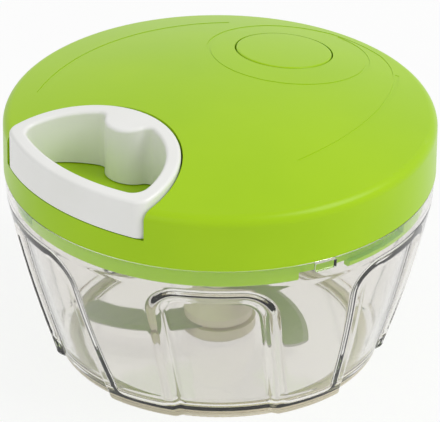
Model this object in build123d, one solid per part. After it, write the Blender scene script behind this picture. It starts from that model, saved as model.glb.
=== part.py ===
"""Pull-cord food chopper: clear fluted bowl, lime twist-on lid, white pull handle, cord reel and blades.

Millimetres. The origin is the centre of the foot ring on the table, +Z is up, and the handle pulls
towards -Y. Heights in the lid are measured from the lid's lower edge, which is at LID_Z.
"""

from build123d import *
import math
import os

UP = (Align.CENTER, Align.CENTER, Align.MIN)

# ---------------------------------------------------------------- driving sizes
# lid and bowl share one size, the lid's outer radius
LID_R = 62.5

# bowl
RIM_R = LID_R - 0.2  # outer radius at the rim
BAND_R = LID_R - 0.6  # outer radius under the straight rim band
BAND_H = 7.0  # height of the rim band
WAIST_R = LID_R * 0.896  # outer radius half way down
FOOT_R = LID_R * 0.772  # outer radius at the underside
BOWL_WALL = 2.2
FLOOR_T = 3.0
FLOOR_ROUND = 4.0  # inside corner between wall and floor
FOOT_ROUND = 2.0  # outside corner at the underside
FOOT_H = 1.2  # the underside stands this far above the table, on the foot ring
LID_Z = 59.0  # height of the lid's lower edge
RIM_GAP = 0.15  # between bowl rim and lid edge

FLUTES = 6
FLUTE_DEPTH = 1.7
FLUTE_AT = -42.3  # azimuth of the first flute
FLUTE_TOP_HALF = 15.2  # half width at the arch
FLUTE_LOW_HALF = 13.5  # half width at the foot
FLUTE_TOP_SHIFT = -2.2  # the flutes lean: sideways shift at the top
FLUTE_LOW_SHIFT = 3.0  # and at the foot
FLUTE_DROP = 11.2  # from the lid's edge down to the arch
FLUTE_ROUND = 6.5  # arch corner

PIN_R = 2.5  # steel pin the blades turn on
PIN_TOP = 25.0
PIN_SET = 1.2  # pin bottom above the bowl's underside
BOSS_R = 5.0
BOSS_H = 2.2

# foot ring, let into the underside
RING_R = FOOT_R - 3.3
RING_W = 4.6
RING_SET = 1.0  # depth of its channel
RING_KEY_R = RING_R - RING_W / 2
RING_KEY_W = 1.8
RING_KEY_H = 0.8  # key rib above the channel

# bayonet
LUGS = 3
LUG_AT = -12.8
LUG_W = 6.5
LUG_H = 2.5
LUG_TOP = 1.9  # below the lid edge
LUG_IN = 1.45  # how far a lug stands in from the wall
LUG_GAP = 0.35
TURN = 22.0  # twist to lock, degrees
MOUTH = 15.6  # width of a slot mouth, degrees

# lid cover
LID_WALL = 2.2
DOME_T = 2.0
DOME_BALL = 229.0  # radius of the dome
DOME_TOP = 24.9  # dome apex above the lid's edge
SHOULDER = 3.2
GROOVE_R1, GROOVE_AT1 = 23.3, (-6.5, 32.4)  # soft grooves on the dome
GROOVE_R2, GROOVE_AT2 = 30.0, (-1.6, 27.9)
GROOVE_R3, GROOVE_AT3 = 65.3, (16.7, -2.4)
GROOVE_R4, GROOVE_AT4 = 80.4, (-38.4, -4.1)
GROOVE_W = 1.2
GROOVE_D = 0.12

# round cap in the dome
CAP_R = 14.0
CAP_AT = (-8.3, 32.4)
CAP_GAP = 0.4
CAP_T = 2.2
CAP_PROUD = 0.15
CAP_SHELF = 1.5
CAP_ROUND = 0.5
CAP_STEM_R = 2.4
CAP_STEM_H = 4.2

# lid base with its plug ring
PLUG_R = LID_R - 2.8
PLUG_TAPER = 0.4
PLUG_DROP = 6.5
PLUG_RISE = 2.0
PLUG_WALL = 2.7
PLATE_Z = -5.0
PLATE_T = 1.8
RIBS = 9
RIB_T = 1.4
RIB_H = 2.6
WELL_R = 17.4  # wall round the clutch, which carries the spring cup
WELL_T = 1.8

# screws through the base into posts of the cover
SCREW_AT = (-15.0, 60.0, 135.0, 195.0)
SCREW_PCR = PLUG_R - 10.7
SCREW_R = 1.4
SCREW_HEAD_R = 2.8
SCREW_HEAD_H = 1.6
SCREW_LEN = 11.0
POST_R = 3.8

# pull handle and its recess
PULL_TILT = 6.0  # the cord pulls upwards by this angle
GRIP_R = 29.0  # inner arc of the D
GRIP_AT = LID_R - 8.6  # its centre, out from the lid's axis
GRIP_SIDE = 4.3  # width of the inner arc
GRIP_FRONT = 4.2  # width of the bar at the rim
GRIP_CORNER = 4.5
GRIP_TOP_MID = 24.9  # handle top at the lid's axis, if it went there
GRIP_TOP_RIM = 19.2  # handle top at the rim
GRIP_ROUND = 1.1
GRIP_LIFT = 0.3  # over the recess floor
RECESS_GAP = 0.5
RECESS_WALL = 1.6
RECESS_FLOOR_T = 1.8
RECESS_FLOOR_Z = 4.2  # at the recess's inner end
KNOB_R = 7.2  # boss that holds the cord's knot
KNOB_OUT = 30.0  # its centre, out from the lid's axis
KNOB_SIDE = 3.4  # and sideways from the cord's line
KNOB_BLEND = 2.5  # where the boss runs into the inner arc
KNOT_R = 2.5
PLUG_CAP_H = 2.0
EYELET_R = 2.1  # steel eyelet that guides the cord through the recess wall
EYELET_FLANGE_R = 3.4
EYELET_T = 1.0

# cord, drum and reel
CORD_R = 0.8
DRUM_R = 7.7
COIL_TURNS = 4.5
COIL_PITCH = 1.8
FLANGE_R = 12.3
FLANGE_T = 1.0
DRUM_Z = 9.8  # lower face of the winding space
DRUM_H = 10.2
ARBOR_R = 4.4
ARBOR_HEX = 7.2
AXLE_R = 2.0
RUN = 0.06  # radial running clearance
FIT = 0.05  # clearance of pieces that don't move on each other
END = 0.3  # axial play

# mainspring and its cup
CUP_Z = 1.9
CUP_R = 17.4
CUP_T = 0.9
CUP_WALL = 1.1
STRIP_T = 0.35
STRIP_H = 5.0
STRIP_TURNS = 8
STRIP_IN_R = 5.3
STRIP_PITCH = 1.25

# one-way clutch
TEETH = 12
TOOTH_TIP_R = 11.2
TOOTH_ROOT_R = 13.0
RATCHET_R = 14.4
RATCHET_Z = -1.7
RATCHET_T = 2.6
WEB_T = 0.8
PAWLS = 3
PAWL_T = 0.9
HUB_FLANGE_R = 12.4
HUB_NECK_R = 8.0
HUB_END_Z = -12.0
HUB_HEX = 9.8
BUSH_R = 10.0

# blade unit
SPINDLE_HEX = 9.0
FOOT_FLANGE_R = 11.0
FOOT_FLANGE_Z = 5.0
BLADE_Z = (8.8, 20.8, 32.8)
BLADE_ROOT_AT = (247.7, 7.7, 127.7)
BLADE_T = 0.8
BLADE_R = (40.0, 43.5, 44.5)  # tip radius, lowest blade first
BLADE_W = 11.6
SPACER_R = 7.3
BELL_R = 10.2
HEAD_HEX = 9.4
HEAD_TOP = 55.0
HEAD_SHOULDER = 46.0


# ---------------------------------------------------------------- shared shapes
def tube(outer, inner, low, high):
    """A plain ring about the Z axis, solid when inner is 0."""
    ring = Pos(0, 0, low) * Cylinder(outer, high - low, align=UP)
    if inner:
        ring -= Pos(0, 0, low - 1) * Cylinder(inner, high - low + 2, align=UP)
    return ring


def turned(*outline):
    """A solid of revolution from (radius, height) points."""
    return revolve(Plane.XZ * Polygon(*outline, align=None), Axis.Z)


def hexagon(across_flats, low, high):
    """A six-sided bar about the Z axis."""
    bar = extrude(RegularPolygon(across_flats / 2, 6, major_radius=False), high - low)
    return Pos(0, 0, low) * bar


def polar(radius, degrees):
    """Plan point at a radius and an azimuth."""
    return radius * math.cos(math.radians(degrees)), radius * math.sin(math.radians(degrees))


def ball_dome(top, ball, low, radius, corner=0):
    """Everything under a shallow spherical dome, down to low, out to radius, its edge rounded."""
    def at(r):
        return (r, top - ball + math.sqrt(ball**2 - r**2))

    arc = ThreePointArc(at(radius), at(radius / 2), at(0))
    face = make_face(arc + Polyline(at(0), (0, low), (radius, low), at(radius)))
    if corner:
        face = fillet(face.vertices().group_by(Axis.X)[-1].sort_by(Axis.Y)[-1], corner)
    return revolve(Plane.XZ * face, Axis.Z)


# the handle and the cord move along this line, tilted up from -Y
PULL = Vector(0, -math.cos(math.radians(PULL_TILT)), math.sin(math.radians(PULL_TILT)))
FLOOR_NORMAL = (0, math.sin(math.radians(PULL_TILT)), math.cos(math.radians(PULL_TILT)))
FLOOR_START = GRIP_AT - GRIP_R - RECESS_GAP
CORD_LINE_R = DRUM_R + CORD_R
CORD_START = (-CORD_LINE_R, 0.0, LID_Z + DRUM_Z + 0.3 + CORD_R)


def above_floor(offset):
    """The half space above the recess floor, raised by offset along its normal."""
    floor = Plane((0, -FLOOR_START, LID_Z + RECESS_FLOOR_Z), x_dir=(1, 0, 0), z_dir=FLOOR_NORMAL)
    return floor * (Pos(0, 0, offset) * Box(260, 260, 80, align=UP))


def along_pull(start, length, radius):
    """A round bar on the cord's line, from start millimetres out, length long."""
    base = Vector(*CORD_START) + PULL * start
    return extrude(Plane(base, z_dir=PULL) * Circle(radius), length)


# ---------------------------------------------------------------- bowl and foot
def bowl_outline(inset, low, corner=0):
    """The bowl's turned outline, moved inwards by inset, level at low, its corner there rounded."""
    top = LID_Z - RIM_GAP
    foot = (FOOT_R - inset * 1.12, FOOT_H)
    waist = (WAIST_R - inset * 1.03, (FOOT_H + LID_Z - BAND_H) / 2)
    band = (BAND_R - inset, LID_Z - BAND_H)
    side = ThreePointArc(foot, waist, band)
    rim = Line(band, (RIM_R - inset, top))
    rest = Polyline((RIM_R - inset, top), (0, top), (0, FOOT_H), foot)
    face = make_face(side + rim + rest)
    face &= Pos(0, low) * Rectangle(2 * LID_R, LID_Z, align=(Align.CENTER, Align.MIN))
    if corner:
        face = fillet(face.vertices().group_by(Axis.Y)[0].sort_by(Axis.X)[-1], corner)
    return revolve(Plane.XZ * face, Axis.Z)


def flute_blocks(grow, inset, low):
    """What the pressed flutes take away: a rounded arch, outside an inset copy of the wall."""
    arch = Polygon(
        (FLUTE_LOW_SHIFT - FLUTE_LOW_HALF, 0),
        (FLUTE_LOW_SHIFT + FLUTE_LOW_HALF, 0),
        (FLUTE_TOP_SHIFT + FLUTE_TOP_HALF, LID_Z - FLUTE_DROP),
        (FLUTE_TOP_SHIFT - FLUTE_TOP_HALF, LID_Z - FLUTE_DROP),
        align=None,
    )
    arch = fillet(arch.vertices().group_by(Axis.Y)[-1], FLUTE_ROUND)
    if grow:
        arch = offset(arch, grow)
    block = None
    for k in range(FLUTES):
        turn = math.radians(FLUTE_AT + 360 / FLUTES * k)
        outward = (math.cos(turn), math.sin(turn), 0)
        side = (-math.sin(turn), math.cos(turn), 0)
        one = extrude(Plane((0, 0, 0), x_dir=side, z_dir=outward) * arch, LID_R + 20)
        block = one if block is None else block + one
    return block - bowl_outline(inset, low, FLOOR_ROUND if low > FOOT_H else FOOT_ROUND)


def bayonet_lugs():
    """Short ledges on the inside of the rim band that the lid's slots hook under."""
    ring = tube(BAND_R - 0.6, BAND_R - BOWL_WALL - LUG_IN, LID_Z - LUG_TOP - LUG_H, LID_Z - LUG_TOP)
    bars = None
    for k in range(LUGS):
        bar = Rot(0, 0, LUG_AT + 360 / LUGS * k) * Box(
            LID_R, LUG_W, 2 * LID_Z, align=(Align.MIN, Align.CENTER, Align.CENTER)
        )
        bars = bar if bars is None else bars + bar
    return ring & bars


def make_bowl():
    floor_z = FOOT_H + FLOOR_T
    outside = bowl_outline(0, FOOT_H, FOOT_ROUND) - flute_blocks(0, FLUTE_DEPTH, FOOT_H)
    hollow = bowl_outline(BOWL_WALL, floor_z, FLOOR_ROUND)
    hollow -= flute_blocks(BOWL_WALL, BOWL_WALL + FLUTE_DEPTH, floor_z)
    bowl = outside - hollow + bayonet_lugs()
    bowl += tube(BOSS_R, 0, floor_z, floor_z + BOSS_H)
    bowl -= tube(PIN_R + FIT, 0, FOOT_H + PIN_SET, PIN_TOP)
    key = RING_KEY_W / 2 + FIT
    channel_top = FOOT_H + RING_SET
    bowl -= tube(RING_KEY_R + key, RING_KEY_R - key, 0, channel_top + RING_KEY_H + FIT)
    return bowl - tube(RING_R + FIT, RING_R - RING_W - FIT, 0, channel_top + FIT)


def make_foot_ring():
    """Soft anti-slip ring with a key rib that sits in the bowl's groove."""
    high = FOOT_H + RING_SET
    ring = tube(RING_R, RING_R - RING_W, 0, high)
    ring = fillet(ring.edges().group_by(Axis.Z)[0], FOOT_H / 2)
    half = RING_KEY_W / 2
    return ring + tube(RING_KEY_R + half, RING_KEY_R - half, high - 0.5, high + RING_KEY_H)


def make_bowl_pin():
    pin = tube(PIN_R, 0, FOOT_H + PIN_SET, PIN_TOP)
    return fillet(pin.edges().group_by(Axis.Z)[-1], 0.8)


# ---------------------------------------------------------------- blade unit
def make_spindle():
    """Hexagonal core with the flange that carries the lowest blade, bored for the bowl's pin."""
    low = FOOT_FLANGE_Z
    spindle = tube(FOOT_FLANGE_R, 0, low, BLADE_Z[0])
    spindle = fillet(spindle.edges().group_by(Axis.Z)[0], 1.0)
    spindle += hexagon(SPINDLE_HEX, BLADE_Z[0] - 0.1, BLADE_Z[2] + BLADE_T + 1.2)
    spindle -= tube(BOSS_R + 0.5, 0, low - 1, FOOT_H + FLOOR_T + BOSS_H + END)
    spindle -= tube(PIN_R + RUN, 0, low - 1, PIN_TOP + END)
    return spindle - tube(1.3, 0, PIN_TOP + 1.5, HEAD_TOP)


def make_blade(level):
    """Sickle blade swept back from its root, with a bevelled leading edge and a rounded tip."""
    root = BLADE_W / 2
    reach = BLADE_R[level]
    tip = Vector(*polar(reach, -20.5))
    lead = ThreePointArc((3.0, root), (reach * 0.62, root * 0.42), tip + Vector(1.0, 5.2))
    nose = ThreePointArc(tip + Vector(1.0, 5.2), tip, tip + Vector(-5.6, -3.0))
    trail = ThreePointArc(tip + Vector(-5.6, -3.0), (reach * 0.5, -root * 1.22), (3.0, -root))
    back = Line((3.0, -root), (3.0, root))
    blade = extrude(make_face(lead + nose + trail + back), BLADE_T)
    blade += tube(SPACER_R - 0.2, 0, 0, BLADE_T)
    upper = blade.edges().group_by(Axis.Z)[-1]
    blade = chamfer(upper.sort_by(SortBy.LENGTH)[-2:].sort_by(Axis.Y)[-1], BLADE_T * 0.7, BLADE_T * 2.0)
    blade = Rot(0, 0, BLADE_ROOT_AT[level]) * blade - hexagon(SPINDLE_HEX + 2 * FIT, -1, BLADE_T + 1)
    return Pos(0, 0, BLADE_Z[level]) * blade


def make_lower_spacer():
    """Bell-shaped spacer between the lower and middle blades."""
    low, high = BLADE_Z[0] + BLADE_T, BLADE_Z[1]
    side = ThreePointArc((BELL_R, low + 2.2), (SPACER_R + 0.7, low + 7.0), (SPACER_R, high))
    rest = Polyline((SPACER_R, high), (0, high), (0, low), (BELL_R, low), (BELL_R, low + 2.2))
    bell = revolve(Plane.XZ * make_face(side + rest), Axis.Z)
    return bell - hexagon(SPINDLE_HEX + 2 * FIT, low - 1, high + 1)


def make_upper_spacer():
    low, high = BLADE_Z[1] + BLADE_T, BLADE_Z[2]
    spacer = tube(SPACER_R, 0, low, high) - tube(SPACER_R + 1, SPACER_R - 0.7, low + 2.4, high - 2.4)
    return spacer - hexagon(SPINDLE_HEX + 2 * FIT, low - 1, high + 1)


def make_spindle_head():
    """Domed head that clamps the stack and ends in the hexagon the lid drives."""
    low = BLADE_Z[2] + BLADE_T
    head = tube(SPACER_R, 0, low, low + 6.0)
    head = fillet(head.edges().group_by(Axis.Z)[-1], 2.0)
    head += tube(5.4, 0, low, HEAD_SHOULDER)
    head += hexagon(HEAD_HEX, HEAD_SHOULDER - 0.5, HEAD_TOP)
    head -= hexagon(SPINDLE_HEX + 2 * FIT, low - 1, low + 1.2 + FIT)
    head -= tube(2.9, 0, HEAD_TOP - 2.4, HEAD_TOP + 1)
    return head - tube(1.5 + FIT, 0, low, HEAD_TOP)


def make_spindle_screw():
    """Cross-head screw down the middle of the blade unit."""
    top = HEAD_TOP - 0.6
    screw = tube(2.75, 0, top - 1.8, top) + tube(1.28, 0, PIN_TOP + 3.0, top - 1.0)
    cross = Box(3.2, 0.7, 2.0) + Box(0.7, 3.2, 2.0)
    return screw - Pos(0, 0, top) * cross


# ---------------------------------------------------------------- lid
def dome_solid(inset):
    """The cover's filled outer form, or its hollow when inset is the wall."""
    side = LID_R - (LID_WALL if inset else 0)
    low = LID_Z - (1 if inset else 0)
    round_r = SHOULDER - inset * 0.6
    return ball_dome(LID_Z + DOME_TOP - inset, DOME_BALL - inset, low, side, round_r)


def dome_height(x, y):
    """Height of the dome's outside over a plan point."""
    return LID_Z + DOME_TOP - DOME_BALL + math.sqrt(DOME_BALL**2 - x**2 - y**2)


def arc_groove(centre, radius, start, end):
    """A curved groove tool, GROOVE_D deep below the dome, between two azimuths about centre."""
    path = CenterArc(centre, radius, start, end - start)
    band = extrude(trace(path, GROOVE_W), LID_Z + DOME_TOP + 5)
    below = ball_dome(LID_Z + DOME_TOP - GROOVE_D, DOME_BALL - GROOVE_D, LID_Z, LID_R)
    return (band & tube(LID_R - SHOULDER - 1.5, 0, LID_Z, 2 * LID_Z)) - below


def recess_column(radius):
    """The upright cylinder round the handle's inner arc."""
    return Pos(0, -GRIP_AT, 0) * Cylinder(radius, 2 * LID_Z, align=UP)


def screw_points():
    return [polar(SCREW_PCR, angle) for angle in SCREW_AT]


def make_cover():
    outer = dome_solid(0)
    cover = outer - dome_solid(DOME_T)
    recess_r = GRIP_R + RECESS_GAP
    cover += outer & recess_column(recess_r + RECESS_WALL) & above_floor(-RECESS_FLOOR_T)
    plate_top = LID_Z + PLATE_Z + PLATE_T
    posts = None
    for x, y in screw_points():
        post = Pos(x, y, plate_top) * Cylinder(POST_R, DOME_TOP - PLATE_Z, align=UP)
        posts = post if posts is None else posts + post
    posts += tube(5.2, 0, LID_Z + DRUM_Z + DRUM_H + FLANGE_T + END, LID_Z + DOME_TOP)
    well = Pos(*CAP_AT, LID_Z) * Cylinder(CAP_R + CAP_GAP + 1.5, DOME_TOP, align=UP)
    well_floor = LID_Z + DOME_TOP - CAP_T - CAP_SHELF
    well -= ball_dome(well_floor, DOME_BALL, 0, LID_R)
    cover += (posts + well) & outer
    cover -= recess_column(recess_r) & above_floor(0)
    cap_hole = Pos(*CAP_AT, LID_Z) * Cylinder(CAP_R + CAP_GAP, 2 * DOME_TOP, align=UP)
    cover -= cap_hole - ball_dome(well_floor + CAP_SHELF, DOME_BALL, 0, LID_R)
    cover -= Pos(*CAP_AT, LID_Z) * Cylinder(CAP_STEM_R + 0.2, DOME_TOP, align=UP)
    for x, y in screw_points():
        cover -= Pos(x, y, plate_top - 1) * Cylinder(SCREW_R - 0.05 + FIT, SCREW_LEN, align=UP)
    cover -= tube(AXLE_R + FIT, 0, LID_Z, LID_Z + DOME_TOP - 1.2)
    cover -= eyelet_body(FIT) + along_pull(0, FLOOR_START + 5, CORD_R + 0.15)
    grooves = [
        arc_groove(GROOVE_AT1, GROOVE_R1, 0, 360),
        arc_groove(GROOVE_AT2, GROOVE_R2, 45, 152),
        arc_groove(GROOVE_AT3, GROOVE_R3, 144, 209),
        arc_groove(GROOVE_AT4, GROOVE_R4, -3, 44),
    ]
    for groove in grooves:
        cover -= groove
    return cover


def make_cap():
    """Round cap that snaps into the dome, its top following the dome."""
    disc = Pos(*CAP_AT, LID_Z) * Cylinder(CAP_R, 2 * DOME_TOP, align=UP)
    top = LID_Z + DOME_TOP + CAP_PROUD
    disc &= ball_dome(top, DOME_BALL, LID_Z, LID_R)
    low = LID_Z + DOME_TOP - CAP_T + FIT
    disc -= ball_dome(low, DOME_BALL, 0, LID_R)
    rims = [e for e in disc.edges() if e.length > 2 * CAP_R]
    disc = fillet(max(rims, key=lambda e: e.center().Z), CAP_ROUND)
    under = dome_height(*CAP_AT) - CAP_T + FIT
    stem_z = under - CAP_STEM_H
    stem = Pos(*CAP_AT, stem_z) * Cylinder(CAP_STEM_R, CAP_STEM_H + 0.4, align=UP)
    barb = Pos(*CAP_AT, stem_z) * Cone(CAP_STEM_R, CAP_STEM_R + 0.7, 1.2, align=UP)
    slit = Pos(*CAP_AT, stem_z) * Box(1.0, 8.0, 2 * CAP_STEM_H - 1.0)
    return disc + (stem + barb - slit)


def bayonet_slots():
    """L-shaped slots in the plug ring: an open mouth, then a groove that runs round under the lid."""
    inner = BAND_R - BOWL_WALL - LUG_IN - LUG_GAP
    top = LID_Z - LUG_TOP + LUG_GAP
    low = LID_Z - LUG_TOP - LUG_H - LUG_GAP
    bottom = LID_Z - PLUG_DROP - 1
    slots = None
    for k in range(LUGS):
        at = LUG_AT + 360 / LUGS * k
        start, stop = at - MOUTH / 2, at + MOUTH / 2 + TURN
        groove = wedge(start, stop, low, top) - tube(inner, 0, bottom, top + 1)
        mouth = wedge(start, at + MOUTH / 2, bottom, top) - tube(inner, 0, bottom, top + 1)
        notch = wedge(start, at + MOUTH / 2, bottom, low)
        for piece in (groove, mouth, notch):
            slots = piece if slots is None else slots + piece
    return slots


def wedge(start, stop, low, high):
    """A pie slice about the Z axis between two azimuths."""
    mid = (start + stop) / 2
    reach = LID_R * 1.3
    slice_face = Polygon((0, 0), polar(reach, start), polar(reach * 1.1, mid), polar(reach, stop), align=None)
    core = tube(LID_R, PLUG_R - PLUG_WALL - 1.5, low, high)
    return core & (Pos(0, 0, low) * extrude(slice_face, high - low))


def make_base():
    """Plate that closes the lid from below, with the plug ring that fits the bowl."""
    low, high = LID_Z - PLUG_DROP, LID_Z + PLUG_RISE
    bottom_r = PLUG_R - PLUG_TAPER
    base = turned(
        (bottom_r - 0.6, low), (bottom_r, low + 0.6), (PLUG_R, LID_Z), (PLUG_R, high),
        (PLUG_R - PLUG_WALL + 0.6, high), (PLUG_R - PLUG_WALL, low),
    )
    plate_z = LID_Z + PLATE_Z
    plate_top = plate_z + PLATE_T
    base += tube(PLUG_R - PLUG_WALL + 0.3, BUSH_R + FIT, plate_z, plate_top)
    base += tube(WELL_R, WELL_R - WELL_T, plate_top - 0.1, LID_Z + CUP_Z)
    for k in range(RIBS):
        rib = Pos(WELL_R - 0.5, 0, plate_top - 0.1) * Box(
            PLUG_R - PLUG_WALL - WELL_R + 0.8, RIB_T, RIB_H, align=(Align.MIN, Align.CENTER, Align.MIN)
        )
        base += Rot(0, 0, 360 / RIBS * k) * rib
    base -= bayonet_slots()
    for x, y in screw_points():
        base -= Pos(x, y, plate_z - 1) * Cylinder(SCREW_R + 0.2, 8, align=UP)
        base -= Pos(x, y, plate_top) * Cylinder(POST_R + 0.3, 8, align=UP)
    return base


def make_screws():
    """The lid screws, as one group."""
    head_z = LID_Z + PLATE_Z - SCREW_HEAD_H
    shank = Cylinder(SCREW_R - 0.05, SCREW_LEN - 1.4, align=UP)
    head = fillet(Cylinder(SCREW_HEAD_R, SCREW_HEAD_H, align=UP).edges().group_by(Axis.Z)[0], 0.7)
    cross = Box(3.0, 0.7, 1.4) + Box(0.7, 3.0, 1.4)
    screw = head + shank - cross
    return Compound([Pos(x, y, head_z) * screw.solid() for x, y in screw_points()])


# ---------------------------------------------------------------- handle and cord
def d_plan(side, front, corner):
    """The handle's D in plan: a round inner arc cut by the lid's rim, with rounded corners."""
    plan = Pos(0, -GRIP_AT) * Circle(GRIP_R - side) & Circle(LID_R - 0.05 - front)
    return fillet(plan.vertices(), corner)


def make_handle():
    """D-shaped pull handle whose top follows the lid and whose underside follows the recess floor."""
    ring = extrude(d_plan(0, 0, GRIP_CORNER), 2 * LID_Z)
    hole = d_plan(GRIP_SIDE, GRIP_FRONT, GRIP_CORNER) - Pos(CORD_START[0] + KNOB_SIDE, -KNOB_OUT) * Circle(KNOB_R)
    opening = extrude(fillet(hole.vertices().sort_by(Axis.Y)[-2:], KNOB_BLEND), 2 * LID_Z)
    drop = GRIP_TOP_MID - GRIP_TOP_RIM
    ball = (LID_R**2 + drop**2) / (2 * drop)
    form = ball_dome(LID_Z + GRIP_TOP_MID, ball, 0, LID_R) & above_floor(GRIP_LIFT)
    handle = (ring & form) - opening
    top_edges = [e for e in handle.edges() if e.center().Z > LID_Z + GRIP_TOP_RIM - 0.6]
    handle = fillet(top_edges, GRIP_ROUND)
    handle -= along_pull(FLOOR_START - 4, KNOB_OUT - FLOOR_START + 4, CORD_R + 0.15)
    chamber = Pos(CORD_START[0], -KNOB_OUT - 1.0, 0) * Cylinder(KNOT_R + 0.4, knot_z() + 4.0, align=UP)
    return handle - chamber


def knot_z():
    """Height of the knot's middle, on the cord's line."""
    out = (KNOB_OUT + 1.0) / math.cos(math.radians(PULL_TILT))
    return CORD_START[2] + out * math.sin(math.radians(PULL_TILT))


def make_knot():
    """The stopper knot at the cord's end, as a double overhand reads from outside."""
    ball = Pos(CORD_START[0], -KNOB_OUT - 1.0, knot_z()) * Sphere(KNOT_R)
    turns = Pos(CORD_START[0], -KNOB_OUT - 1.0, knot_z()) * Rot(78, 0, 0) * Torus(KNOT_R - 0.6, 0.8)
    return ball + turns


def make_knot_plug():
    """Small press-in plug that closes the knot's chamber from below."""
    low = Vector(0, -KNOB_OUT - 1.0, 0)
    run = KNOB_OUT + 1.0 - FLOOR_START
    floor = LID_Z + RECESS_FLOOR_Z + run * math.tan(math.radians(PULL_TILT)) + GRIP_LIFT + 0.5
    plug = Pos(CORD_START[0], low.Y, floor) * Cylinder(KNOT_R + 0.4 - FIT, PLUG_CAP_H, align=UP)
    return plug


def eyelet_body(grow):
    """Flanged eyelet in the recess wall, on the cord's line; grow makes the hole for it."""
    def wall(radius, side):
        return GRIP_AT - math.sqrt(radius**2 - (CORD_LINE_R - side) ** 2)

    seat = wall(GRIP_R + RECESS_GAP + RECESS_WALL, EYELET_FLANGE_R)
    mouth = wall(GRIP_R, EYELET_R) - RECESS_GAP / 2
    flange = along_pull(seat - EYELET_T, EYELET_T + grow, EYELET_FLANGE_R + grow)
    return flange + along_pull(seat - EYELET_T, mouth - seat + EYELET_T, EYELET_R + grow)


def make_eyelet():
    bore = along_pull(0, LID_R, CORD_R + 0.12)
    return eyelet_body(0) - bore


def make_pull_cord():
    """The short stretch of cord from the drum to the knot."""
    length = (KNOB_OUT + 1.0 - KNOT_R - 0.45) / math.cos(math.radians(PULL_TILT))
    return along_pull(0.1, length, CORD_R)


def make_wound_cord():
    """Single layer of turns on the drum, quarter turn by quarter turn."""
    def at(quarter):
        angle = math.pi + quarter * math.pi / 2
        lift = COIL_PITCH * max(quarter - 0.5, 0) / 4
        return (CORD_LINE_R * math.cos(angle), CORD_LINE_R * math.sin(angle), CORD_START[2] + lift)

    steps = int(COIL_TURNS * 4)
    path = [ThreePointArc(at(k), at(k + 0.5), at(k + 1)) for k in range(steps)]
    wire = Wire(path)
    section = Plane(at(0), z_dir=(0, -1, 0)) * Circle(CORD_R)
    return sweep(section, wire)


# ---------------------------------------------------------------- drive train
def make_axle():
    """Steel axle pressed into the cover, grooved for its clip."""
    low = LID_Z - 1.5
    axle = tube(AXLE_R, 0, low, LID_Z + DOME_TOP - 1.4)
    axle = chamfer(axle.edges().group_by(Axis.Z)[0], 0.3)
    return axle - tube(AXLE_R + 1, 1.55, LID_Z - 0.95, LID_Z - 0.3)


def make_axle_clip():
    """Spring clip under the reel."""
    clip = tube(3.5, 1.6, LID_Z - 0.9, LID_Z - 0.35)
    return clip - Pos(0, 2.6, LID_Z) * Box(2.6, 5.2, 4)


def make_reel():
    """Cord drum with two flanges, the spring's arbor and the hexagon for the ratchet ring."""
    z = LID_Z + DRUM_Z
    reel = tube(DRUM_R - 0.02, 0, z, z + DRUM_H)
    reel += tube(FLANGE_R, 0, z - FLANGE_T, z) + tube(FLANGE_R, 0, z + DRUM_H, z + DRUM_H + FLANGE_T)
    reel += tube(ARBOR_R, 0, LID_Z + CUP_Z - 0.1, z - FLANGE_T)
    reel += hexagon(ARBOR_HEX, LID_Z - 0.25, LID_Z + CUP_Z)
    return reel - tube(AXLE_R + RUN, 0, LID_Z - 3, z + DRUM_H + 5)


def half_turns(edge):
    """A flat spiral of half circles, edge millimetres outside the strip's middle line."""
    arcs = []
    for k in range(STRIP_TURNS * 2):
        radius = STRIP_IN_R + STRIP_PITCH / 2 * k + edge
        centre = (STRIP_PITCH / 4 * (1 if k % 2 else -1), 0)
        arcs.append(CenterArc(centre, radius, 180 * (k % 2), 180))
    return arcs


def make_mainspring():
    """Flat spiral spring between the reel's arbor and the cup."""
    outer, inner = half_turns(STRIP_T / 2), half_turns(-STRIP_T / 2)
    caps = [Line(outer[0] @ 0, inner[0] @ 0), Line(outer[-1] @ 1, inner[-1] @ 1)]
    strip = make_face(Wire(outer + inner + caps))
    return Pos(0, 0, LID_Z + CUP_Z + CUP_T + 0.2) * extrude(strip, STRIP_H)


def make_spring_cup():
    """Tray that stands on the base's well and holds the mainspring's outer end."""
    z = LID_Z + CUP_Z
    high = z + CUP_T + 0.2 + STRIP_H
    cup = tube(CUP_R, 0, z, high) - tube(CUP_R - CUP_WALL, 0, z + CUP_T, high + 1)
    cup += tube(WELL_R - WELL_T - 0.1, WELL_R - WELL_T - 0.9, z - 0.5, z + 0.1)
    return cup - tube(ARBOR_R + 0.6, 0, z - 2, high)


def make_spring_cover():
    """Thin washer that keeps the mainspring in its cup."""
    z = LID_Z + CUP_Z + CUP_T + 0.2 + STRIP_H
    return tube(CUP_R, ARBOR_R + 0.6, z, z + 0.45)


def make_ratchet_ring():
    """Ring of inner saw teeth, keyed on the reel's hexagon."""
    z = LID_Z + RATCHET_Z
    points = []
    for k in range(TEETH):
        points.append(polar(TOOTH_ROOT_R, 360 / TEETH * k))
        points.append(polar(TOOTH_TIP_R, 360 / TEETH * (k + 1)))
    inside = Pos(0, 0, z - 1) * extrude(Polygon(*points, align=None), RATCHET_T + 1)
    ring = tube(RATCHET_R, 0, z, z + RATCHET_T + WEB_T) - inside
    return ring - hexagon(ARBOR_HEX + 2 * FIT, z, z + 9)


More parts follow.
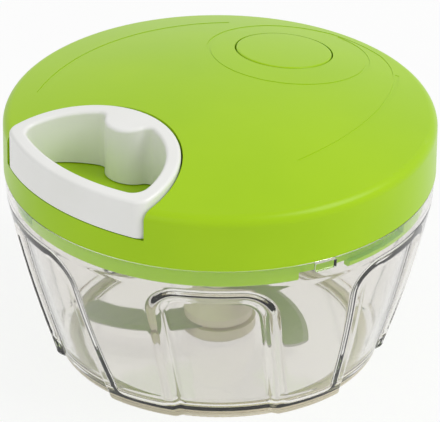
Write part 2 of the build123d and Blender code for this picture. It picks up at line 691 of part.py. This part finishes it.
def make_drive_hub():
    """Clutch hub: springy pawls above, a neck through the base, and the socket that turns the blades."""
    flange_z = LID_Z - 2.9
    hub = tube(HUB_NECK_R, 0, LID_Z + HUB_END_Z, flange_z) + tube(HUB_FLANGE_R, 0, flange_z, flange_z + 0.9)
    hub += tube(6.2, 0, flange_z, LID_Z + 0.5)
    hub -= tube(4.7, 0, LID_Z - 2.2, LID_Z + 2)
    hub -= hexagon(HUB_HEX, LID_Z + HUB_END_Z - 1, LID_Z - 3.4)
    for k in range(PAWLS):
        arm = ThreePointArc(polar(5.6, 108), polar(8.9, 50), polar(11.3, 4))
        pawl = Pos(0, 0, LID_Z + RATCHET_Z + 0.1) * extrude(trace(arm, PAWL_T), 2.1)
        hub += Rot(0, 0, 120 * k) * pawl
    return hub


def make_hub_bush():
    """Bearing bush for the hub's neck, pressed into the base plate."""
    z = LID_Z + PLATE_Z
    bush = tube(BUSH_R, HUB_NECK_R + RUN, z - 1.0, LID_Z - 3.0)
    return bush + tube(BUSH_R + 1.6, HUB_NECK_R + RUN, z - 1.0, z)


# ---------------------------------------------------------------- all pieces
PIECES = {
    "bowl": make_bowl,
    "foot_ring": make_foot_ring,
    "bowl_pin": make_bowl_pin,
    "blade_spindle": make_spindle,
    "lower_blade": lambda: make_blade(0),
    "middle_blade": lambda: make_blade(1),
    "upper_blade": lambda: make_blade(2),
    "lower_spacer": make_lower_spacer,
    "upper_spacer": make_upper_spacer,
    "spindle_head": make_spindle_head,
    "spindle_screw": make_spindle_screw,
    "lid_cover": make_cover,
    "lid_base": make_base,
    "round_cap": make_cap,
    "lid_screws": make_screws,
    "cord_eyelet": make_eyelet,
    "spring_cup": make_spring_cup,
    "spring_cover": make_spring_cover,
    "mainspring": make_mainspring,
    "hub_bush": make_hub_bush,
    "drive_axle": make_axle,
    "axle_clip": make_axle_clip,
    "cord_reel": make_reel,
    "wound_cord": make_wound_cord,
    "ratchet_ring": make_ratchet_ring,
    "drive_hub": make_drive_hub,
    "pull_handle": make_handle,
    "cord_knot": make_knot,
    "knot_plug": make_knot_plug,
    "pull_cord": make_pull_cord,
}


def main():
    os.makedirs("parts", exist_ok=True)
    for name, make in PIECES.items():
        export_step(make(), f"parts/{name}.step")
        print("wrote", name)


if __name__ == "__main__":
    main()
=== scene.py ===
# Pull-cord food chopper: clear fluted bowl, lime lid, white pull handle, blades and winding gear.
import math

import bmesh
import bpy
from mathutils import Matrix, Vector


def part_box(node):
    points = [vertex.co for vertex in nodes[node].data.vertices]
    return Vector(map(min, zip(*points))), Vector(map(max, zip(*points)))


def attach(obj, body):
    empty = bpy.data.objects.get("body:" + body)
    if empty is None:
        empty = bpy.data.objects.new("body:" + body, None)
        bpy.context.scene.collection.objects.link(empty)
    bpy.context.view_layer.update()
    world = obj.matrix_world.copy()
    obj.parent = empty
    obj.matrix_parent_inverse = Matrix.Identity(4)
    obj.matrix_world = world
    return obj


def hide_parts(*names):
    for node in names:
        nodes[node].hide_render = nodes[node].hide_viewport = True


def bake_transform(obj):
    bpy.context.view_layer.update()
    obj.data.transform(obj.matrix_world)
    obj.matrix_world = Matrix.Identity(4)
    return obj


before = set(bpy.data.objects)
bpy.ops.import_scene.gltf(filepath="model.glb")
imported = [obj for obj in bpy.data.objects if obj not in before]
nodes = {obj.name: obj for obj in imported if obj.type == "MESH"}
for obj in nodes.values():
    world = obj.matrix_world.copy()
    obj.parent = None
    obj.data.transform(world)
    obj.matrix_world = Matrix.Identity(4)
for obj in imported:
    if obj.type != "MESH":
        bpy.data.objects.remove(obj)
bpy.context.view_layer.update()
mm = 0.001


# colours and node helpers
def hexToLinear(code, alpha=1.0):
    values = [int(code[i : i + 2], 16) / 255 for i in (0, 2, 4)]
    return tuple(v / 12.92 if v <= 0.04045 else ((v + 0.055) / 1.055) ** 2.4 for v in values) + (alpha,)


def addNode(tree, kind, settings=None, links=None):
    node = tree.nodes.new(kind)
    for key, value in (settings or {}).items():
        if isinstance(key, str) and hasattr(node, key):
            setattr(node, key, value)
        else:
            node.inputs[key].default_value = value
    for key, source in (links or {}).items():
        tree.links.new(source, node.inputs[key])
    return node


def startMaterial(name):
    material = bpy.data.materials.new(name)
    material.use_nodes = True
    material.node_tree.nodes.clear()
    return material, material.node_tree


def finishMaterial(tree, shader):
    addNode(tree, "ShaderNodeOutputMaterial", links={"Surface": shader.outputs[0]})


def grainScale(size):
    return 1000.0 / size  # noise scale for a grain of this many millimetres, in object metres


def twoTone(tree, source, look, low, high):
    # a pattern turned into the material's shade and colour
    tone = addNode(tree, "ShaderNodeValToRGB", links={"Fac": source})
    for element, place, key in zip(tone.color_ramp.elements, (low, high), ("shade", "colour")):
        element.position = place
        element.color = hexToLinear(look[key])
    return tone


def mouldedPlastic(name, look):
    # moulded ABS or nylon: even colour, a soft gloss broken by a very fine spark-eroded grain
    material, tree = startMaterial(name)
    place = addNode(tree, "ShaderNodeTexCoord").outputs["Object"]
    cloud = addNode(
        tree,
        "ShaderNodeTexNoise",
        {"Scale": grainScale(look["cloudSize"]), "Detail": 2.0},
        {"Vector": place},
    )
    tone = twoTone(tree, cloud.outputs["Fac"], look, 0.3, 0.7)
    grain = addNode(
        tree,
        "ShaderNodeTexNoise",
        {"Scale": grainScale(look["grainSize"]), "Detail": 3.0},
        {"Vector": place},
    )
    bump = addNode(
        tree,
        "ShaderNodeBump",
        {"Strength": look["grainDepth"], "Distance": 0.02 * mm},
        {"Height": grain.outputs["Fac"]},
    )
    rough = addNode(
        tree,
        "ShaderNodeMapRange",
        {"To Min": look["rough"] - 0.03, "To Max": look["rough"] + 0.03},
        {"Value": cloud.outputs["Fac"]},
    )
    shader = addNode(
        tree,
        "ShaderNodeBsdfPrincipled",
        {"IOR": 1.54, "Specular IOR Level": look.get("shine", 0.5)},
        {
            "Base Color": tone.outputs["Color"],
            "Roughness": rough.outputs["Result"],
            "Normal": bump.outputs["Normal"],
        },
    )
    finishMaterial(tree, shader)
    return material


def clearPlastic(name, look):
    # injection-moulded SAN: a sharp gloss, the faintest waviness from the mould; its faint grey colour
    # is painted shade, greying the floor and parts seen through it;
    # lamps shine through it, so what is inside the bowl is lit
    material, tree = startMaterial(name)
    place = addNode(tree, "ShaderNodeTexCoord").outputs["Object"]
    wave = addNode(
        tree,
        "ShaderNodeTexNoise",
        {"Scale": grainScale(look["waveSize"]), "Detail": 1.0},
        {"Vector": place},
    )
    bump = addNode(
        tree,
        "ShaderNodeBump",
        {"Strength": look["waveDepth"], "Distance": 0.1 * mm},
        {"Height": wave.outputs["Fac"]},
    )
    shader = addNode(
        tree,
        "ShaderNodeBsdfPrincipled",
        {
            "Base Color": hexToLinear(look["colour"]),
            "IOR": look["ior"],
            "Roughness": look["rough"],
            "Transmission Weight": 1.0,
        },
        {"Normal": bump.outputs["Normal"]},
    )
    open_ = addNode(tree, "ShaderNodeBsdfTransparent", {"Color": hexToLinear(look["shadowTint"])})
    path = addNode(tree, "ShaderNodeLightPath")
    lit = addNode(
        tree,
        "ShaderNodeMath",
        {"operation": "MAXIMUM"},
        {0: path.outputs["Is Shadow Ray"], 1: path.outputs["Is Diffuse Ray"]},
    )
    both = addNode(
        tree,
        "ShaderNodeMixShader",
        links={0: lit.outputs[0], 1: shader.outputs[0], 2: open_.outputs[0]},
    )
    finishMaterial(tree, both)
    return material


def brushedMetal(name, look):
    # rolled stainless: long fine brush lines in one direction, a broad soft highlight across them
    material, tree = startMaterial(name)
    place = addNode(tree, "ShaderNodeTexCoord").outputs["Object"]
    stretch = addNode(tree, "ShaderNodeMapping", {"Scale": look["stretch"]}, {"Vector": place})
    lines = addNode(
        tree,
        "ShaderNodeTexNoise",
        {"Scale": grainScale(look["lineWidth"]), "Detail": 4.0},
        {"Vector": stretch.outputs["Vector"]},
    )
    tone = twoTone(tree, lines.outputs["Fac"], look, 0.25, 0.75)
    rough = addNode(
        tree,
        "ShaderNodeMapRange",
        {"To Min": look["rough"] - 0.06, "To Max": look["rough"] + 0.08},
        {"Value": lines.outputs["Fac"]},
    )
    bump = addNode(
        tree,
        "ShaderNodeBump",
        {"Strength": 0.25, "Distance": 0.01 * mm},
        {"Height": lines.outputs["Fac"]},
    )
    shader = addNode(
        tree,
        "ShaderNodeBsdfPrincipled",
        {"Metallic": look.get("metal", 1.0)},
        {
            "Base Color": tone.outputs["Color"],
            "Roughness": rough.outputs["Result"],
            "Normal": bump.outputs["Normal"],
        },
    )
    finishMaterial(tree, shader)
    return material


# finishes, one dictionary each; cloud, grain, wave and line sizes in millimetres
limeLook = {
    "colour": "A6CF12", "shade": "A1CB10", "cloudSize": 30.0, "grainSize": 0.5,
    "grainDepth": 0.12, "rough": 0.3, "shine": 0.2,
}
# plug ring: the lid's own lime, painted brighter and more saturated as painted light, to offset the
# shade under the bowl rim and behind the clear wall
plugPaintedLightLook = {
    "colour": "B2E400", "shade": "ACDE00", "cloudSize": 30.0, "grainSize": 0.5,
    "grainDepth": 0.12, "rough": 0.35, "shine": 0.2,
}
whiteLook = {
    "colour": "EFEFEC", "shade": "EBEBE7", "cloudSize": 20.0, "grainSize": 0.4,
    "grainDepth": 0.08, "rough": 0.3,
}
creamLook = {
    "colour": "F2E8D8", "shade": "EDE3D2", "cloudSize": 12.0, "grainSize": 0.4,
    "grainDepth": 0.1, "rough": 0.38,
}
beigeLook = {
    "colour": "E4DAC4", "shade": "DDD3BC", "cloudSize": 8.0, "grainSize": 0.6,
    "grainDepth": 0.3, "rough": 0.6,
}
acetalLook = {
    "colour": "E6E6E2", "shade": "DEDEDA", "cloudSize": 10.0, "grainSize": 0.4,
    "grainDepth": 0.1, "rough": 0.42,
}
greyLook = {
    "colour": "6C6F72", "shade": "64676A", "cloudSize": 10.0, "grainSize": 0.4,
    "grainDepth": 0.12, "rough": 0.45,
}
# clear SAN: the grey in its colour is painted shade on the floor and walls seen through the bowl
sanGreyShadeLook = {
    "colour": "F0EEEB", "shadowTint": "FBFBFA", "ior": 1.5, "rough": 0.04, "waveSize": 9.0,
    "waveDepth": 0.12,
}
bladeLook = {
    "colour": "C4C3BA", "shade": "B5B4AA", "metal": 0.3, "lineWidth": 0.35, "rough": 0.46,
    "stretch": (1.0, 0.06, 1.0),
}
steelLook = {
    "colour": "D8D8D6", "shade": "C2C2C0", "lineWidth": 0.25, "rough": 0.24,
    "stretch": (1.0, 1.0, 0.05),
}
cordLook = {
    "colour": "E9E7DF", "shade": "DAD7CC", "cloudSize": 3.0, "grainSize": 0.25,
    "grainDepth": 0.5, "rough": 0.75, "shine": 0.3,
}
springLook = {
    "colour": "8F97A6", "shade": "7C8494", "lineWidth": 0.3, "rough": 0.3,
    "stretch": (0.05, 0.05, 1.0),
}

limeAbs = mouldedPlastic("limeAbs", limeLook)
# the plug ring's material is a copy of the lime, painted brighter as painted light for the shade it sits
# in
plugPaintedLightAbs = mouldedPlastic("plugPaintedLightAbs", plugPaintedLightLook)
whiteAbs = mouldedPlastic("whiteAbs", whiteLook)
creamNylon = mouldedPlastic("creamNylon", creamLook)
beigeRubber = mouldedPlastic("beigeRubber", beigeLook)
whiteAcetal = mouldedPlastic("whiteAcetal", acetalLook)
greyNylon = mouldedPlastic("greyNylon", greyLook)
clearSan = clearPlastic("clearSan", sanGreyShadeLook)
bladeSteel = brushedMetal("bladeSteel", bladeLook)
brightSteel = brushedMetal("brightSteel", steelLook)
springSteel = brushedMetal("springSteel", springLook)
braidedCord = mouldedPlastic("braidedCord", cordLook)

nodeFinish = {
    "bowl": clearSan, "foot_ring": beigeRubber, "bowl_pin": brightSteel, "blade_spindle": creamNylon,
    "lower_blade": bladeSteel, "middle_blade": bladeSteel, "upper_blade": bladeSteel,
    "lower_spacer": creamNylon, "upper_spacer": creamNylon, "spindle_head": creamNylon,
    "spindle_screw": brightSteel, "lid_cover": limeAbs, "lid_base": plugPaintedLightAbs, "round_cap": limeAbs,
    "lid_screws": brightSteel, "cord_eyelet": brightSteel, "spring_cup": whiteAcetal,
    "spring_cover": brightSteel, "mainspring": springSteel, "hub_bush": whiteAcetal,
    "drive_axle": brightSteel, "axle_clip": brightSteel, "cord_reel": whiteAcetal,
    "wound_cord": whiteAcetal, "ratchet_ring": greyNylon, "drive_hub": creamNylon,
    "pull_handle": whiteAbs, "cord_knot": whiteAcetal, "knot_plug": whiteAbs, "pull_cord": whiteAcetal,
}
for nodeName, material in nodeFinish.items():
    node = nodes[nodeName]
    for slot in node.material_slots:
        slot.material = material
print("finishes on", len(nodeFinish), "nodes")

# bowl: one clear skin of revolution, pushed in where the flutes are pressed
bowlShape = {
    "foot": (48.25, 1.2), "waist": (56.0, 26.6), "band": (61.9, 52.0), "rim": (62.3, 58.85),
    "wall": 2.2, "floor": 4.2, "footRound": 2.0, "floorRound": 4.0,
    "flutes": 6, "fluteDepth": 1.7, "fluteAt": -42.3, "archTop": 47.8,
    "halfTop": 15.2, "halfLow": 13.5, "shiftTop": -2.2, "shiftLow": 3.0, "archRound": 6.5,
    "edgeOut": 1.5, "edgeIn": 1.7,
    "lugAt": (-12.8, 107.2, 227.2), "lugWide": 6.5, "lugLow": 54.6, "lugHigh": 57.1, "lugIn": 1.45,
    "boss": 5.0, "bossTop": 6.4, "pin": 2.55, "pinLow": 2.4,
    "channelIn": 40.3, "channelOut": 45.0, "channelTop": 2.25,
    "keyIn": 41.75, "keyOut": 43.55, "keyTop": 3.05,
    "steps": 900, "rowStep": 0.45, "lipRound": 0.35, "footLean": 1.12,  # the wall is thicker low down
    "floorRings": (32.0, 24.0, 16.0, 8.0), "coreEase": (38.5, 37.0, 35.5, 34.0, 32.0),
}


def circleThrough(a, b, c):
    d = 2 * (a[0] * (b[1] - c[1]) + b[0] * (c[1] - a[1]) + c[0] * (a[1] - b[1]))
    sa, sb, sc = a[0] ** 2 + a[1] ** 2, b[0] ** 2 + b[1] ** 2, c[0] ** 2 + c[1] ** 2
    x = (sa * (b[1] - c[1]) + sb * (c[1] - a[1]) + sc * (a[1] - b[1])) / d
    y = (sa * (c[0] - b[0]) + sb * (a[0] - c[0]) + sc * (b[0] - a[0])) / d
    return x, y, math.hypot(a[0] - x, a[1] - y)


def wallRadius(shape, z, inset=0.0):
    # outside radius of the unfluted wall at a height
    if z >= shape["band"][1]:
        t = (z - shape["band"][1]) / (shape["rim"][1] - shape["band"][1])
        return shape["band"][0] + (shape["rim"][0] - shape["band"][0]) * t - inset
    x, y, radius = circleThrough(shape["foot"], shape["waist"], shape["band"])
    low, high = shape["foot"][1], shape["band"][1]
    lean = shape["footLean"] - (shape["footLean"] - 1) * (z - low) / (high - low)
    return x + math.sqrt(radius**2 - (z - y) ** 2) - inset * lean


def fluteAmount(shape, angle, radius, z, grow, edge):
    # 1 inside a flute, 0 outside it, eased over the edge
    pitch = 2 * math.pi / shape["flutes"]
    turn = angle - math.radians(shape["fluteAt"])
    turn -= pitch * round(turn / pitch)
    side = radius * math.sin(turn)
    top = shape["archTop"] + grow
    part = min(max(z / shape["archTop"], 0.0), 1.1)
    centre = shape["shiftLow"] + (shape["shiftTop"] - shape["shiftLow"]) * part
    half = shape["halfLow"] + (shape["halfTop"] - shape["halfLow"]) * part + grow
    corner = shape["archRound"] + grow
    u, v = abs(side - centre) - half, z - top
    du, dv = u + corner, v + corner
    if du > 0 and dv > 0:
        distance = corner - math.hypot(du, dv)
    else:
        distance = -max(u, v)
    t = min(max((distance + edge) / (2 * edge), 0.0), 1.0)
    return t * t * (3 - 2 * t)


def bowlRows(shape):
    # (radius, height, flute push, side, lug) down the section, from the outside to the inside
    rows = []

    def add(radius, height, push=0.0, side="out", lug=0.0):
        rows.append((radius, height, push, side, lug))

    low, top = shape["foot"][1], shape["rim"][1]
    lip, step = shape["lipRound"], shape["rowStep"]
    for r in (0.0,) + tuple(reversed(shape["floorRings"])) + (shape["channelIn"],):
        add(r, low)
    for r, height in (
        ("channelIn", "channelTop"), ("keyIn", "channelTop"), ("keyIn", "keyTop"),
        ("keyOut", "keyTop"), ("keyOut", "channelTop"), ("channelOut", "channelTop"),
    ):
        add(shape[r], shape[height])
    add(shape["channelOut"], low)
    edge = shape["footRound"]
    start = wallRadius(shape, low + edge)
    for part in (0.25, 0.5, 0.75, 1.0):
        add(shape["channelOut"] + (start - edge - shape["channelOut"]) * part, low, part)
    for k in range(1, 9):
        a = k / 8 * math.pi / 2
        add(start - edge + edge * math.sin(a), low + edge - edge * math.cos(a), 1.0)
    z = low + edge + 0.4
    while z < top - lip:
        add(wallRadius(shape, z), z, 1.0)
        z += step
    outer, inner = wallRadius(shape, top), wallRadius(shape, top) - shape["wall"]
    for k in range(0, 7):
        a = k / 6 * math.pi / 2
        add(outer - lip + lip * math.cos(a), top - lip + lip * math.sin(a), 1.0)
    for k in range(0, 7):
        a = k / 6 * math.pi / 2
        add(inner + lip - lip * math.sin(a), top - lip + lip * math.cos(a), 1.0, "in")
    floor, ease = shape["floor"], shape["floorRound"]
    heights = []
    z = top - 0.6
    while z > floor + ease + 0.2:
        if not shape["lugLow"] - lip < z < shape["lugHigh"] + lip:
            heights.append(z)
        z -= step
    heights += [shape["lugHigh"] + d for d in (0.25, 0.05, -0.1, -0.5, -1.25)]
    heights += [shape["lugLow"] + d for d in (0.5, 0.1, -0.05, -0.25)]
    for h in sorted(heights, reverse=True):
        lug = 1.0 if shape["lugLow"] <= h <= shape["lugHigh"] else 0.0
        add(wallRadius(shape, h, shape["wall"]), h, 1.0, "in", lug)
    side = wallRadius(shape, floor + ease, shape["wall"])
    for k in range(0, 13):
        a = k / 12 * math.pi / 2
        add(side - ease + ease * math.cos(a), floor + ease - ease * math.sin(a), 1.0, "in")
    core = shape["coreEase"][-1]
    for r in shape["coreEase"]:
        add(r, floor, max(0.0, (r - core) / (side - ease - core)), "in")
    boss, bossTop = shape["boss"], shape["bossTop"]
    for r in (24.0, 16.0, 9.0, boss + 0.35):
        add(r, floor, 0.0, "in")
    for r, height in (
        (boss, floor + 0.35), (boss, bossTop - 0.3), (boss - 0.3, bossTop),
        (shape["pin"], bossTop), (shape["pin"], shape["pinLow"]), (0.0, shape["pinLow"]),
    ):
        add(r, height, 0.0, "in")
    return rows


def meshFromRows(name, rings):
    # rings of (x, y, z) in millimetres, or single points at the poles, joined into one skin
    mesh = bpy.data.meshes.new(name)
    vertices, faces, starts = [], [], []
    for ring in rings:
        starts.append((len(vertices), len(ring)))
        vertices += [(x * mm, y * mm, z * mm) for x, y, z in ring]
    for (a, countA), (b, countB) in zip(starts, starts[1:]):
        count = max(countA, countB)
        for k in range(count):
            n = (k + 1) % count
            if countA == 1:
                faces.append((a, b + n, b + k))
            elif countB == 1:
                faces.append((a + k, a + n, b))
            else:
                faces.append((a + k, a + n, b + n, b + k))
    mesh.from_pydata(vertices, [], faces)
    mesh.validate()
    work = bmesh.new()
    work.from_mesh(mesh)
    bmesh.ops.recalc_face_normals(work, faces=work.faces)
    work.to_mesh(mesh)
    work.free()
    piece = bpy.data.objects.new(name, mesh)
    bpy.context.scene.collection.objects.link(piece)
    return piece


def smoothShade(piece, degrees=35.0):
    piece.data.shade_smooth()
    piece.data.set_sharp_from_angle(angle=math.radians(degrees))


def makeBowl(shape):
    rings = []
    for r, z, push, side, lug in bowlRows(shape):
        if r == 0.0:
            rings.append([(0.0, 0.0, z)])
            continue
        grow = 0.0 if side == "out" else shape["wall"]
        edge = shape["edgeOut"] if side == "out" else shape["edgeIn"]
        ring = []
        for k in range(shape["steps"]):
            angle = 2 * math.pi * k / shape["steps"]
            radius = r
            if push:
                radius -= shape["fluteDepth"] * push * fluteAmount(shape, angle, r, z, grow, edge)
            if lug:
                for at in shape["lugAt"]:
                    off = (angle - math.radians(at) + math.pi) % (2 * math.pi) - math.pi
                    if abs(off) * r < shape["lugWide"] / 2:
                        radius -= shape["lugIn"]
            ring.append((radius * math.cos(angle), radius * math.sin(angle), z))
        rings.append(ring)
    piece = meshFromRows("bowlShell", rings)
    smoothShade(piece, 50.0)
    piece.data.materials.append(clearSan)
    return piece


bowlShell = makeBowl(bowlShape)
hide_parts("bowl")
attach(bowlShell, "bowl")
print("bowl skin has", len(bowlShell.data.polygons), "faces")

# cord: braided polyester, 1.6 mm thick, from the drum through the eyelet to its knot in the handle
cordShape = {
    "radius": 0.8, "lineRadius": 8.5, "turns": 4.5, "pitch": 1.8, "knot": 2.5, "tilt": 6.0,
    "strands": 8, "plait": 2.6, "relief": 0.07, "sides": 24, "stepsPerTurn": 90, "pullSteps": 120,
    "knotWraps": 2.6, "knotSteps": 150, "knotWaist": 0.55, "knotTuck": 0.35,
}


def tubeAlong(name, points, shape):
    # a braided cord on a path: its strands stand out of the round as two crossed spirals
    sides, half = shape["sides"], shape["strands"] / 2
    rings, run, normal = [], 0.0, None
    for k, point in enumerate(points):
        ahead = points[min(k + 1, len(points) - 1)]
        behind = points[max(k - 1, 0)]
        along = (ahead - behind).normalized()
        if normal is None:
            normal = along.orthogonal().normalized()
        normal = (normal - along * normal.dot(along)).normalized()
        side = along.cross(normal)
        if k:
            run += (point - points[k - 1]).length
        phase = 2 * math.pi * run / shape["plait"]
        ring = []
        for j in range(sides):
            a = 2 * math.pi * j / sides
            weave = max(math.cos(half * a + phase), math.cos(half * a - phase))
            r = shape["radius"] - shape["relief"] * (1 - weave)
            spot = point + (normal * math.cos(a) + side * math.sin(a)) * r
            ring.append(tuple(spot))
        rings.append(ring)
    rings.insert(0, [tuple(points[0])])
    rings.append([tuple(points[-1])])
    piece = meshFromRows(name, rings)
    smoothShade(piece, 60.0)
    piece.data.materials.append(braidedCord)
    return piece


def boxOf(name):
    low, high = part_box(name)
    return Vector(low) / mm, Vector(high) / mm


def pullLine(shape):
    tilt = math.radians(shape["tilt"])
    return Vector((0.0, -math.cos(tilt), math.sin(tilt)))


def makeWoundCord(shape):
    # one layer of turns on the drum
    startZ = boxOf("wound_cord")[0].z + shape["radius"]
    r = shape["lineRadius"]
    points = []
    steps = int(shape["turns"] * shape["stepsPerTurn"])
    for k in range(steps + 1):
        quarter = shape["turns"] * 4 * k / steps
        angle = math.pi + quarter * math.pi / 2
        lift = shape["pitch"] * max(quarter - 0.5, 0.0) / 4
        points.append(Vector((r * math.cos(angle), r * math.sin(angle), startZ + lift)))
    piece = tubeAlong("drumCord", points, shape)
    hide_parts("wound_cord")
    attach(piece, "reel")


def makePullCord(shape):
    # the free stretch between drum and knot, pulled out longer by the handle
    low, high = boxOf("pull_cord")
    x = (low.x + high.x) / 2
    tilt = math.radians(shape["tilt"])
    tipY, tipZ = shape["radius"] * math.sin(tilt), shape["radius"] * math.cos(tilt)
    first = Vector((x, high.y - tipY, low.z + tipZ))
    last = Vector((x, low.y + tipY, high.z - tipZ))
    steps = shape["pullSteps"]
    points = [first + (last - first) * k / steps for k in range(steps + 1)]
    piece = tubeAlong("pullCord", points, shape)
    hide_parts("pull_cord")
    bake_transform(piece)


def makeKnot(shape):
    # double overhand stopper: two and a half wraps round the standing end
    low, high = boxOf("cord_knot")
    middle = (low + high) / 2
    line = pullLine(shape)
    across = Vector((1.0, 0.0, 0.0))
    up = line.cross(across)
    points = []
    reach = shape["knot"] - shape["radius"]
    waist = shape["knotWaist"]
    steps = shape["knotSteps"]
    for k in range(steps + 1):
        t = k / steps
        a = 2 * math.pi * shape["knotWraps"] * t
        along = (t - 0.5) * 2 * (reach - shape["knotTuck"])
        r = reach * (waist + (1 - waist) * math.sin(math.pi * t))
        points.append(middle + line * along + across * (r * math.cos(a)) + up * (r * math.sin(a)))
    points.insert(0, middle - line * (reach + 0.1))
    points.append(middle + line * (reach - 0.2))
    smooth = []
    for a, b in zip(points, points[1:]):
        smooth += [a, (a + b) / 2]
    smooth.append(points[-1])
    piece = tubeAlong("stopperKnot", smooth, shape)
    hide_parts("cord_knot")
    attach(piece, "handle")


makeWoundCord(cordShape)
makePullCord(cordShape)
makeKnot(cordShape)
print("cord wound, led out and knotted")

# floor, light and camera
studio = {
    "floor": 3.0, "floorColour": "F4F4F4", "world": 0.62, "keyPower": 12.0, "fillPower": 3.0,
    "floorWhite": 0.85, "keyAt": (0.9, 0.6, 1.3), "fillAt": (0.2, -1.6, 0.8), "keySize": 0.9,
    "fillSize": 1.2, "lampAim": (0, 0, 0.05),
}


def seenDirectly(tree, share):
    # the share of white that the camera, mirrors and clear plastic see
    rays = addNode(tree, "ShaderNodeLightPath").outputs
    seen = rays["Is Camera Ray"]
    for name in ("Is Glossy Ray", "Is Transmission Ray"):
        links = {0: seen, 1: rays[name]}
        seen = addNode(tree, "ShaderNodeMath", {"operation": "MAXIMUM"}, links).outputs[0]
    return addNode(tree, "ShaderNodeMath", {"operation": "MULTIPLY", 1: share}, {0: seen})


floorMesh = bpy.data.meshes.new("studioFloor")
half = studio["floor"]
corners = [(-half, -half, 0), (half, -half, 0), (half, half, 0), (-half, half, 0)]
floorMesh.from_pydata(corners, [], [(0, 1, 2, 3)])
studioFloor = bpy.data.objects.new("studioFloor", floorMesh)
bpy.context.scene.collection.objects.link(studioFloor)
paper, tree = startMaterial("whitePaper")
matt = addNode(tree, "ShaderNodeBsdfDiffuse", {"Color": hexToLinear(studio["floorColour"])})
white = addNode(tree, "ShaderNodeEmission", {"Color": (1, 1, 1, 1), "Strength": 1.0})
part = seenDirectly(tree, studio["floorWhite"])
links = {0: part.outputs[0], 1: matt.outputs[0], 2: white.outputs[0]}
finishMaterial(tree, addNode(tree, "ShaderNodeMixShader", links=links))
floorMesh.materials.append(paper)

world = bpy.data.worlds.new("studioWorld")
bpy.context.scene.world = world
world.use_nodes = True
tree = world.node_tree
tree.nodes.clear()
seen = seenDirectly(tree, 1.0)
dim = addNode(tree, "ShaderNodeBackground", {"Color": (1, 1, 1, 1), "Strength": studio["world"]})
white = addNode(tree, "ShaderNodeBackground", {"Color": (1, 1, 1, 1), "Strength": 1.0})
links = {0: seen.outputs[0], 1: dim.outputs[0], 2: white.outputs[0]}
mixed = addNode(tree, "ShaderNodeMixShader", links=links)
addNode(tree, "ShaderNodeOutputWorld", links={"Surface": mixed.outputs[0]})


def areaLamp(name, place, power, size):
    data = bpy.data.lights.new(name, "AREA")
    data.energy, data.size = power, size
    lamp = bpy.data.objects.new(name, data)
    bpy.context.scene.collection.objects.link(lamp)
    lamp.location = place
    lamp.rotation_euler = (Vector(studio["lampAim"]) - Vector(place)).to_track_quat("-Z", "Y").to_euler()


areaLamp("keyLamp", studio["keyAt"], studio["keyPower"], studio["keySize"])
areaLamp("fillLamp", studio["fillAt"], studio["fillPower"], studio["fillSize"])

view = {"aim": (0.0, 0.0, 0.044), "azimuth": 47.7, "elevation": 29.63, "distance": 1.3, "lens": 365.77,
        "roll": 0.57, "shiftX": 0.00127, "shiftY": -0.00823}
cameraData = bpy.data.cameras.new("camera")
camera = bpy.data.objects.new("camera", cameraData)
bpy.context.scene.collection.objects.link(camera)
azimuth, elevation = math.radians(view["azimuth"]), math.radians(view["elevation"])
level = math.cos(elevation)
back = Vector((level * math.sin(azimuth), -level * math.cos(azimuth), math.sin(elevation)))
camera.location = Vector(view["aim"]) + back * view["distance"]
turn = back.to_track_quat("Z", "Y").to_matrix().to_4x4()
camera.rotation_euler = (turn @ Matrix.Rotation(math.radians(view["roll"]), 4, "Z")).to_euler()
cameraData.lens, cameraData.sensor_width = view["lens"], 36.0
cameraData.shift_x, cameraData.shift_y = view["shiftX"], view["shiftY"]
cameraData.clip_end = 20.0
bpy.context.scene.camera = camera
bpy.context.scene.view_settings.view_transform = "Standard"
print("camera at", [round(v, 3) for v in camera.location])
